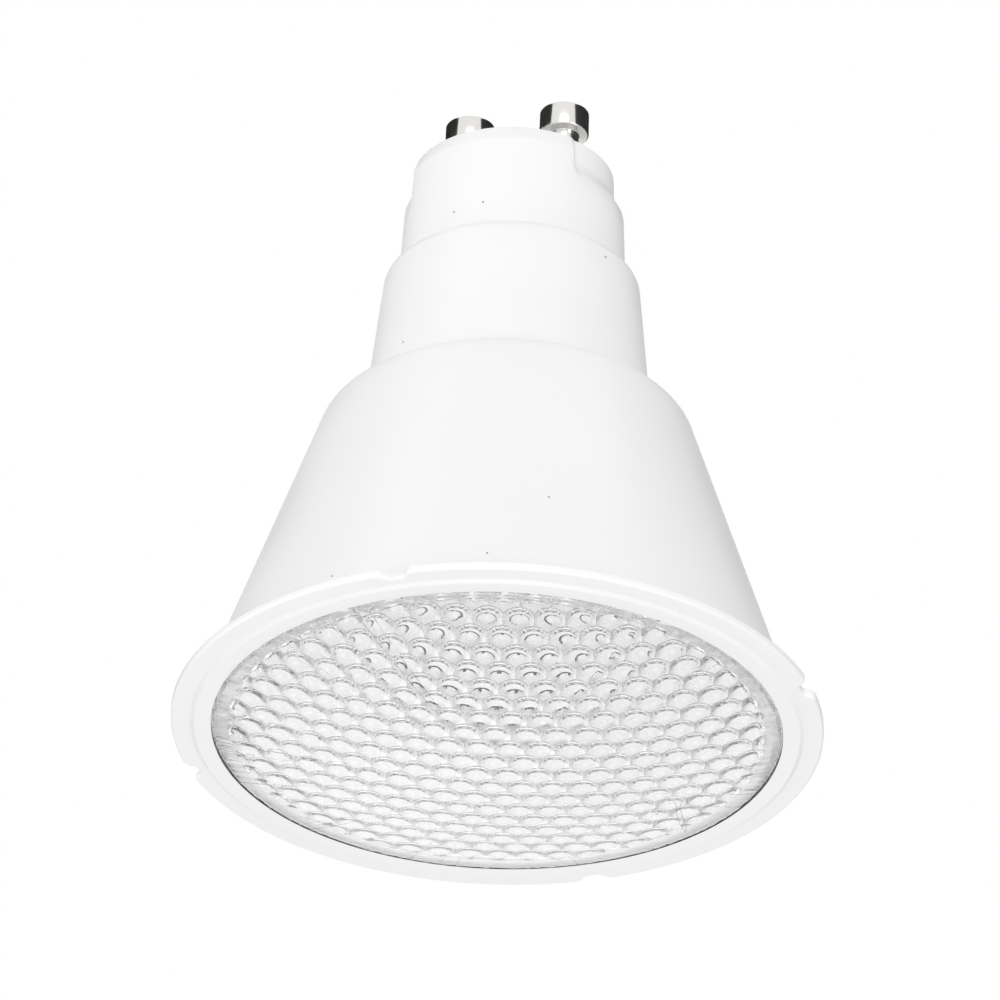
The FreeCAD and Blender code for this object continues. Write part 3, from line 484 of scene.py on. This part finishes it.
def roughen_flanks(lens):
    """Give the steep flank of each bump, and the rim, the second finish of the lens."""
    for face in lens.data.polygons:
        x, y = face.center.x / MM, face.center.y / MM
        reach = math.hypot(x, y)
        inner = face.center.z / MM > sphere_height(LENS_CURVE, reach) + LENS_WALL / 2
        drawn = nearest_cell(x, y) > FLANK_START or reach > RIM_FINISH_START
        face.material_index = int(inner and drawn)


def make_diffuser():
    """The flat white cover over the diodes, at the end of the bowl."""
    profile = rounded([
        (2.0, COVER_FACE, 0), (COVER_EDGE, COVER_FACE + 0.15, 0.3), (COVER_EDGE, COVER_BACK, 0),
        (COVER_INSIDE, COVER_BACK, 0), (COVER_INSIDE, 21.75, 0), (2.0, 21.7, 0)], 4)
    cover = turned_piece("white_diffuser", profile, even_angles(120), closed=False)
    finish_shading(cover)
    return cover


# Shader groups and materials

def group_with(name, inputs, outputs):
    """A shader node group with named inputs and outputs."""
    group = bpy.data.node_groups.new(name, "ShaderNodeTree")
    for word, kind, value in inputs:
        socket = group.interface.new_socket(word, in_out="INPUT", socket_type=kind)
        if value is not None:
            socket.default_value = value
    for word, kind in outputs:
        group.interface.new_socket(word, in_out="OUTPUT", socket_type=kind)
    group.nodes.new("NodeGroupInput")
    group.nodes.new("NodeGroupOutput")
    return group


def ends_of(group):
    """The input and output nodes of a group."""
    return group.nodes["Group Input"], group.nodes["Group Output"]


def maths(tree, operation, first, second=None, third=None):
    """A Math node on numbers or sockets; returns its output."""
    node = tree.nodes.new("ShaderNodeMath")
    node.operation = operation
    for slot, value in enumerate((first, second, third)):
        if value is None:
            continue
        if isinstance(value, (int, float)):
            node.inputs[slot].default_value = value
        else:
            tree.links.new(value, node.inputs[slot])
    return node.outputs[0]


def soft_step(tree, value, low, high, out_low=0.0, out_high=1.0):
    """A smooth ramp of a value between two limits."""
    node = tree.nodes.new("ShaderNodeMapRange")
    node.interpolation_type = "SMOOTHSTEP"
    node.inputs["From Min"].default_value = low
    node.inputs["From Max"].default_value = high
    node.inputs["To Min"].default_value = out_low
    node.inputs["To Max"].default_value = out_high
    tree.links.new(value, node.inputs["Value"])
    return node.outputs["Result"]


def moulding_skin():
    """Uneven gloss and faint waves of a moulded surface: a tint mask and a height."""
    group = group_with("moulding_skin", [
        ("Place", "NodeSocketVector", None), ("Wave Scale", "NodeSocketFloat", 60.0),
        ("Grain Scale", "NodeSocketFloat", 2500.0)],
        [("Cloud", "NodeSocketFloat"), ("Height", "NodeSocketFloat")])
    start, end = ends_of(group)
    wave = group.nodes.new("ShaderNodeTexNoise")
    wave.inputs["Detail"].default_value = 3.0
    group.links.new(start.outputs["Place"], wave.inputs["Vector"])
    group.links.new(start.outputs["Wave Scale"], wave.inputs["Scale"])
    grain = group.nodes.new("ShaderNodeTexNoise")
    grain.inputs["Detail"].default_value = 1.0
    group.links.new(start.outputs["Place"], grain.inputs["Vector"])
    group.links.new(start.outputs["Grain Scale"], grain.inputs["Scale"])
    height = maths(group, "MULTIPLY_ADD", grain.outputs["Fac"], 0.25, wave.outputs["Fac"])
    group.links.new(wave.outputs["Fac"], end.inputs["Cloud"])
    group.links.new(height, end.inputs["Height"])
    return group


def fine_dust():
    """A mask of sparse tiny specks of dust."""
    group = group_with("fine_dust", [
        ("Place", "NodeSocketVector", None), ("Scale", "NodeSocketFloat", 300.0),
        ("Speck Size", "NodeSocketFloat", 0.1)], [("Mask", "NodeSocketFloat")])
    start, end = ends_of(group)
    cells = group.nodes.new("ShaderNodeTexVoronoi")
    group.links.new(start.outputs["Place"], cells.inputs["Vector"])
    group.links.new(start.outputs["Scale"], cells.inputs["Scale"])
    near = maths(group, "LESS_THAN", cells.outputs["Distance"], start.outputs["Speck Size"])
    parts = group.nodes.new("ShaderNodeSeparateColor")
    group.links.new(cells.outputs["Color"], parts.inputs["Color"])
    rare = maths(group, "LESS_THAN", parts.outputs["Red"], 0.08)
    group.links.new(maths(group, "MULTIPLY", near, rare), end.inputs["Mask"])
    return group


def turned_lines():
    """Fine rings left by the lathe, as a height that changes along Z."""
    group = group_with("turned_lines", [
        ("Place", "NodeSocketVector", None), ("Scale", "NodeSocketFloat", 9000.0)],
        [("Height", "NodeSocketFloat")])
    start, end = ends_of(group)
    parts = group.nodes.new("ShaderNodeSeparateXYZ")
    group.links.new(start.outputs["Place"], parts.inputs["Vector"])
    line = group.nodes.new("ShaderNodeTexNoise")
    line.noise_dimensions = "1D"
    line.inputs["Detail"].default_value = 2.0
    group.links.new(parts.outputs["Z"], line.inputs["W"])
    group.links.new(start.outputs["Scale"], line.inputs["Scale"])
    group.links.new(line.outputs["Fac"], end.inputs["Height"])
    return group


def round_mark():
    """A mask about one point, soft at its edge."""
    group = group_with("round_mark", [
        ("Place", "NodeSocketVector", None), ("Middle", "NodeSocketVector", None),
        ("Radius", "NodeSocketFloat", 0.001)], [("Mask", "NodeSocketFloat")])
    start, end = ends_of(group)
    gap = group.nodes.new("ShaderNodeVectorMath")
    gap.operation = "DISTANCE"
    group.links.new(start.outputs["Place"], gap.inputs[0])
    group.links.new(start.outputs["Middle"], gap.inputs[1])
    share = maths(group, "DIVIDE", gap.outputs["Value"], start.outputs["Radius"])
    group.links.new(soft_step(group, share, 0.7, 1.0, 1.0, 0.0), end.inputs["Mask"])
    return group


def turned_band():
    """A mask between two radii and two heights about the Z axis."""
    limits = ("Inner", "Outer", "Low", "High")
    group = group_with("turned_band", [
        ("Place", "NodeSocketVector", None), *[(word, "NodeSocketFloat", 0.0) for word in limits]],
        [("Mask", "NodeSocketFloat")])
    start, end = ends_of(group)
    parts = group.nodes.new("ShaderNodeSeparateXYZ")
    group.links.new(start.outputs["Place"], parts.inputs["Vector"])
    across = maths(group, "MULTIPLY", parts.outputs["X"], parts.outputs["X"])
    reach = maths(group, "MULTIPLY_ADD", parts.outputs["Y"], parts.outputs["Y"], across)
    reach = maths(group, "SQRT", reach)
    mask = maths(group, "GREATER_THAN", reach, start.outputs["Inner"])
    for test, value, word in (("LESS_THAN", reach, "Outer"), ("GREATER_THAN", parts.outputs["Z"], "Low"),
                              ("LESS_THAN", parts.outputs["Z"], "High")):
        mask = maths(group, "MULTIPLY", mask, maths(group, test, value, start.outputs[word]))
    group.links.new(mask, end.inputs["Mask"])
    return group


def straight_mark():
    """A mask along a straight line between two points."""
    group = group_with("straight_mark", [
        ("Place", "NodeSocketVector", None), ("Start", "NodeSocketVector", None),
        ("Along", "NodeSocketVector", None), ("Radius", "NodeSocketFloat", 0.001)],
        [("Mask", "NodeSocketFloat")])
    start, end = ends_of(group)

    def vector_maths(operation, first, second):
        node = group.nodes.new("ShaderNodeVectorMath")
        node.operation = operation
        group.links.new(first, node.inputs[0])
        group.links.new(second, node.inputs[1])
        return node

    offset = vector_maths("SUBTRACT", start.outputs["Place"], start.outputs["Start"]).outputs[0]
    along = start.outputs["Along"]
    done = vector_maths("DOT_PRODUCT", offset, along).outputs["Value"]
    whole = vector_maths("DOT_PRODUCT", along, along).outputs["Value"]
    share = maths(group, "DIVIDE", done, whole)
    share.node.use_clamp = True
    foot = group.nodes.new("ShaderNodeVectorMath")
    foot.operation = "SCALE"
    group.links.new(along, foot.inputs[0])
    group.links.new(share, foot.inputs["Scale"])
    gap = vector_maths("DISTANCE", offset, foot.outputs[0]).outputs["Value"]
    group.links.new(maths(group, "LESS_THAN", gap, start.outputs["Radius"]), end.inputs["Mask"])
    return group


SKIN = moulding_skin()
DUST = fine_dust()
LINES = turned_lines()
MARK = round_mark()
BAND = turned_band()
STROKE = straight_mark()


class Finish:
    """A material in the making: its nodes, its shader and its place on the piece."""

    def __init__(self, name, colour, roughness, metallic=0.0):
        self.material = bpy.data.materials.new(name)
        self.material.use_nodes = True
        self.tree = self.material.node_tree
        self.tree.nodes.clear()
        self.shader = self.tree.nodes.new("ShaderNodeBsdfPrincipled")
        self.end = self.tree.nodes.new("ShaderNodeOutputMaterial")
        self.join(self.shader.outputs["BSDF"], self.end.inputs["Surface"])
        self.colour = colour
        self.shader.inputs["Base Color"].default_value = (*colour, 1)
        self.shader.inputs["Roughness"].default_value = roughness
        self.shader.inputs["Metallic"].default_value = metallic
        self.place = self.tree.nodes.new("ShaderNodeTexCoord").outputs["Object"]

    def join(self, output, socket):
        """Link an output to a socket of this material."""
        self.tree.links.new(output, socket)

    def mix_shaders(self, share, first, second):
        """End in a mix of two shaders, the second where the share is 1."""
        mix = self.tree.nodes.new("ShaderNodeMixShader")
        self.join(share, mix.inputs["Fac"])
        self.join(first.outputs["BSDF"], mix.inputs[1])
        self.join(second.outputs["BSDF"], mix.inputs[2])
        self.join(mix.outputs["Shader"], self.end.inputs["Surface"])

    def group(self, group, **values):
        """Place a shader group on this piece with its own values."""
        node = self.tree.nodes.new("ShaderNodeGroup")
        node.node_tree = group
        self.join(self.place, node.inputs["Place"])
        for word, value in values.items():
            node.inputs[word.replace("_", " ")].default_value = value
        return node

    def tint(self, mask, colour):
        """Mix another colour over the base colour where the mask is 1."""
        mix = self.tree.nodes.new("ShaderNodeMix")
        mix.data_type = "RGBA"
        base = self.shader.inputs["Base Color"]
        if base.is_linked:
            self.join(base.links[0].from_socket, mix.inputs[6])
        else:
            mix.inputs[6].default_value = (*self.colour, 1)
        mix.inputs[7].default_value = (*colour, 1)
        self.join(mask, mix.inputs[0])
        self.join(mix.outputs[2], base)

    def relief(self, height, depth):
        """A bump of this depth in metres from a height that changes over the surface."""
        bump = self.tree.nodes.new("ShaderNodeBump")
        bump.inputs["Strength"].default_value = 1.0
        bump.inputs["Distance"].default_value = depth
        normal = self.shader.inputs["Normal"]
        if normal.is_linked:
            self.join(normal.links[0].from_socket, bump.inputs["Normal"])
        self.join(height, bump.inputs["Height"])
        self.join(bump.outputs["Normal"], normal)

    def spot(self, middle, radius, colour):
        """A small mark about one point of the piece, both in millimetres."""
        mark = self.group(MARK, Middle=Vector(middle) * MM, Radius=radius * MM)
        self.tint(mark.outputs["Mask"], colour)

    def fibre(self, path):
        """A thin grey fibre that lies along a path on the piece, in millimetres."""
        for first, second in zip(path, path[1:]):
            along = Vector(second) - Vector(first)
            stroke = self.group(STROKE, Start=Vector(first) * MM, Along=along * MM, Radius=FIBRE_RADIUS * MM)
            self.tint(stroke.outputs["Mask"], (0.3, 0.29, 0.28))

    def band(self, inner, outer, low, high, colour):
        """A turned band of another colour between two radii and two heights, in millimetres."""
        ring = self.group(BAND, Inner=inner * MM, Outer=outer * MM, Low=low * MM, High=high * MM)
        self.tint(ring.outputs["Mask"], colour)

    def uneven_gloss(self, mask, low, high):
        """Roughness that goes from one value to another with a mask."""
        self.join(soft_step(self.tree, mask, 0.3, 0.7, low, high), self.shader.inputs["Roughness"])


def moulded(name, colour, roughness, tint, wave=60.0):
    """Moulded plastic: faint waves, uneven gloss and a slight change of tint."""
    finish = Finish(name, colour, roughness)
    skin = finish.group(SKIN, Wave_Scale=wave)
    finish.tint(skin.outputs["Cloud"], tint)
    finish.uneven_gloss(skin.outputs["Cloud"], roughness * 0.85, roughness * 1.15)
    finish.relief(skin.outputs["Height"], 0.00001)
    return finish


def white_moulding(name):
    """The white plastic of the outside, with sparse dust and the larger specks of dirt."""
    finish = moulded(name, (0.87, 0.87, 0.87), 0.36, (0.85, 0.85, 0.845))
    dust = finish.group(DUST, Scale=260.0, Speck_Size=0.045)
    finish.tint(dust.outputs["Mask"], (0.45, 0.44, 0.42))
    for middle in SPECKS:
        finish.spot(middle, SPECK_RADIUS, (0.25, 0.25, 0.25))
    return finish


def clear_plastic(name, roughness):
    """The clear lens. Lamps and soft light pass straight through it to the bowl behind."""
    finish = Finish(name, (1.0, 1.0, 1.0), roughness)
    finish.shader.inputs["Transmission Weight"].default_value = 1.0
    finish.shader.inputs["IOR"].default_value = 1.58
    skin = finish.group(SKIN, Wave_Scale=35.0)
    finish.relief(skin.outputs["Height"], 0.000002)
    path = finish.tree.nodes.new("ShaderNodeLightPath")
    through = maths(finish.tree, "MAXIMUM", path.outputs["Is Shadow Ray"], path.outputs["Is Diffuse Ray"])
    open_air = finish.tree.nodes.new("ShaderNodeBsdfTransparent")
    open_air.inputs["Color"].default_value = (0.96, 0.96, 0.96, 1)
    finish.mix_shaders(through, finish.shader, open_air)
    return finish


def plated_metal():
    """Nickel plating over turned brass."""
    finish = Finish("plated_pin", (0.78, 0.77, 0.75), 0.16, 1.0)
    lines = finish.group(LINES, Scale=6000.0)
    finish.relief(lines.outputs["Height"], 0.000004)
    skin = finish.group(SKIN, Wave_Scale=300.0)
    finish.uneven_gloss(skin.outputs["Cloud"], 0.12, 0.24)
    return finish


def metal(name, colour, roughness, wave=250.0):
    """Bare metal with an uneven rolled skin."""
    finish = Finish(name, colour, roughness, 1.0)
    skin = finish.group(SKIN, Wave_Scale=wave)
    finish.uneven_gloss(skin.outputs["Cloud"], roughness * 0.8, roughness * 1.3)
    finish.relief(skin.outputs["Height"], 0.00001)
    return finish


def dress_nodes(white, plated):
    """Give each CAD node the finish of its real material; the bowl's finish also carries a painted shade at its
    seam with the diffuser.
    """
    bowl = moulded("white_bowl", (0.95, 0.95, 0.95), 0.5, (0.93, 0.93, 0.925))
    # Painted shade: the shaded seam between the bowl and the diffuser, as a black band.
    bowl.band(*SEAM_SHADE_RADII, SEAM_SHADE_LOW, COVER_BACK, (0.01, 0.01, 0.01))
    ferrite = moulded("ferrite", (0.07, 0.07, 0.075), 0.6, (0.1, 0.1, 0.1), 500.0)
    sleeve = moulded("can_sleeve", (0.02, 0.02, 0.025), 0.3, (0.03, 0.03, 0.035), 300.0)
    black = moulded("black_package", (0.02, 0.02, 0.02), 0.5, (0.035, 0.035, 0.035), 900.0)
    white_wire = moulded("white_wire", (0.8, 0.8, 0.8), 0.35, (0.76, 0.76, 0.75), 300.0)
    finishes = {
        "housing": white, "driver_case": white, "gu10_cap": white,
        "contact_pin_left": plated, "contact_pin_right": plated, "lens": white,
        "reflector": bowl,
        "lens_gasket": moulded("pale_seal", (0.8, 0.8, 0.8), 0.55, (0.77, 0.77, 0.76)),
        "led_board": moulded("white_board", (0.86, 0.86, 0.86), 0.4, (0.84, 0.84, 0.84)),
        "led_packages": moulded("diode", (0.8, 0.74, 0.45), 0.4, (0.78, 0.7, 0.4), 600.0),
        "thermal_pad": moulded("grey_pad", (0.45, 0.46, 0.48), 0.7, (0.5, 0.5, 0.52), 300.0),
        "heat_spreader": metal("pressed_aluminium", (0.76, 0.76, 0.77), 0.35),
        "board_screws": metal("screw_steel", (0.6, 0.6, 0.6), 0.3, 500.0),
        "insulator_plate": moulded("insulator", (0.78, 0.78, 0.76), 0.5, (0.74, 0.74, 0.72)),
        "driver_board": moulded("green_board", (0.03, 0.18, 0.07), 0.35, (0.04, 0.22, 0.09), 200.0),
        "transformer_core": ferrite, "drum_inductor": ferrite,
        "transformer_winding": moulded("winding_tape", (0.75, 0.58, 0.06), 0.3, (0.7, 0.5, 0.04), 200.0),
        "input_capacitor": sleeve, "output_capacitor": sleeve,
        "film_capacitor": moulded("film_body", (0.33, 0.05, 0.02), 0.25, (0.3, 0.04, 0.02), 200.0),
        "bridge_rectifier": black, "driver_chip": black, "output_diode": black,
        "fusible_resistor": moulded("resistor_body", (0.1, 0.28, 0.18), 0.4, (0.12, 0.32, 0.2), 400.0),
        "input_wire_left": white_wire, "input_wire_right": white_wire,
        "output_wire_left": moulded("red_wire", (0.55, 0.02, 0.015), 0.35, (0.5, 0.02, 0.015), 300.0),
        "output_wire_right": moulded("black_wire", (0.02, 0.02, 0.02), 0.35, (0.03, 0.03, 0.03), 300.0),
    }
    for name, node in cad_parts.items():
        if name in finishes:
            node.data.materials.clear()
            node.data.materials.append(finishes[name].material)


def shell_finish():
    """The housing's white plastic, with painted shade: a thin dark band on the pocket wall, in the gap round
    the lens.
    """
    finish = white_moulding("white_shell")
    # Painted shade in the gap round the lens, as a near-black turned band.
    finish.band(*GAP_SHADE_RADII, *GAP_SHADE_HEIGHTS, (0.02, 0.02, 0.02))
    return finish


def cover_finish():
    """The diffuser's white plastic, with painted shade near its edge: a dark spot that stands for the dark
    inside of a small hole.
    """
    finish = moulded("white_cover", (0.92, 0.92, 0.92), 0.5, (0.9, 0.9, 0.895))
    # Painted shade: the dark spot where a small hole's inside would lie in shade.
    for middle in COVER_SHADE_SPOTS:
        finish.spot(middle, COVER_SHADE_RADIUS, (0.01, 0.01, 0.01))
    return finish


def place_lens():
    """The lens with its two finishes and the fibre that lies on it."""
    lens = make_lens()
    clear = clear_plastic("clear_lens", 0.0)
    clear.fibre([(x, y, sphere_height(LENS_CURVE, math.hypot(x, y))) for x, y in FIBRE])
    place_piece(lens, "lens", clear)
    lens.data.materials.append(clear_plastic("drawn_lens", 0.35).material)
    roughen_flanks(lens)


def place_piece(piece, node, finish):
    """Put a modelled piece in the place of its CAD node, with its finish."""
    piece.data.materials.append(finish.material)
    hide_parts(node)
    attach(piece, "root")


# Stage and light

def white_surroundings():
    """A soft pale world that the camera, gloss and glass see as plain white."""
    world = bpy.data.worlds.new("studio")
    bpy.context.scene.world = world
    world.use_nodes = True
    tree = world.node_tree
    tree.nodes.clear()
    soft = tree.nodes.new("ShaderNodeBackground")
    soft.inputs["Color"].default_value = (1, 1, 1, 1)
    soft.inputs["Strength"].default_value = 0.73
    plain = tree.nodes.new("ShaderNodeBackground")
    plain.inputs["Color"].default_value = (1, 1, 1, 1)
    plain.inputs["Strength"].default_value = 1.0
    path = tree.nodes.new("ShaderNodeLightPath")
    seen = maths(tree, "MAXIMUM", path.outputs["Is Camera Ray"], path.outputs["Is Glossy Ray"])
    seen = maths(tree, "MAXIMUM", seen, path.outputs["Is Transmission Ray"])
    mix = tree.nodes.new("ShaderNodeMixShader")
    tree.links.new(seen, mix.inputs["Fac"])
    tree.links.new(soft.outputs["Background"], mix.inputs[1])
    tree.links.new(plain.outputs["Background"], mix.inputs[2])
    end = tree.nodes.new("ShaderNodeOutputWorld")
    tree.links.new(mix.outputs["Shader"], end.inputs["Surface"])


def lay_floor():
    """A pale floor that shows from above only, so that the bulb can be seen from below."""
    bpy.ops.mesh.primitive_circle_add(vertices=96, radius=1.2, fill_type="NGON")
    floor = bpy.context.object
    floor.name = "floor"
    finish = Finish("pale_floor", (0.9, 0.9, 0.9), 0.7)
    path = finish.tree.nodes.new("ShaderNodeLightPath")
    back = finish.tree.nodes.new("ShaderNodeNewGeometry").outputs["Backfacing"]
    front = maths(finish.tree, "SUBTRACT", 1.0, back)
    seen = maths(finish.tree, "MULTIPLY", path.outputs["Is Camera Ray"], front)
    open_air = finish.tree.nodes.new("ShaderNodeBsdfTransparent")
    finish.mix_shaders(seen, open_air, finish.shader)
    floor.data.materials.append(finish.material)


def hang_lamp(name, place, power):
    """A soft square lamp, aimed at the middle of the bulb."""
    data = bpy.data.lights.new(name, "AREA")
    data.size = LAMP_SIZE * MM
    data.energy = power
    lamp = bpy.data.objects.new(name, data)
    bpy.context.scene.collection.objects.link(lamp)
    lamp.location = Vector(place) * MM
    away = Vector(LAMP_TARGET) * MM - lamp.location
    lamp.rotation_euler = away.to_track_quat("-Z", "Y").to_euler()


def hang_card(name, finish, azimuth, width):
    """A black card to one side of the camera's line, that shows only in glossy surfaces."""
    bpy.ops.mesh.primitive_plane_add(size=1)
    card = bpy.context.object
    card.name = name
    turn = CAMERA_AZIMUTH + math.radians(azimuth)
    card.scale = (width * MM, CARD_HEIGHT * MM, 1)
    card.rotation_euler = (math.pi / 2, 0, turn + math.pi / 2)
    card.location = Vector((math.cos(turn) * CARD_DISTANCE, math.sin(turn) * CARD_DISTANCE, CARD_RISE)) * MM
    for ray in ("camera", "diffuse", "transmission", "shadow", "volume_scatter"):
        setattr(card, "visible_" + ray, False)
    card.data.materials.append(finish.material)


def light_studio():
    """Four broad lamps, left, right, above the camera and below it, and two black cards."""
    hang_lamp("left_lamp", (-922, -379, -38), 3.6)
    hang_lamp("right_lamp", (871, -358, -302), 2.1)
    hang_lamp("upper_lamp", (292, -923, 287), 2.3)
    hang_lamp("lower_lamp", (105, -231, -932), 2.1)
    black = Finish("black_card", (0.01, 0.01, 0.01), 0.9)
    hang_card("left_card", black, -113, 1235)
    hang_card("right_card", black, 107, 1540)


bpy.context.scene.view_settings.view_transform = "Standard"
aim_camera()
white = white_moulding("white_body")
plated = plated_metal()
dress_nodes(white, plated)
place_lens()
place_piece(make_diffuser(), "diffuser", cover_finish())
place_piece(make_housing(), "housing", shell_finish())
place_piece(make_driver_case(), "driver_case", white)
place_piece(make_cap(), "gu10_cap", white)
place_piece(make_pin(-1), "contact_pin_left", plated)
place_piece(make_pin(1), "contact_pin_right", plated)
white_surroundings()
lay_floor()
light_studio()
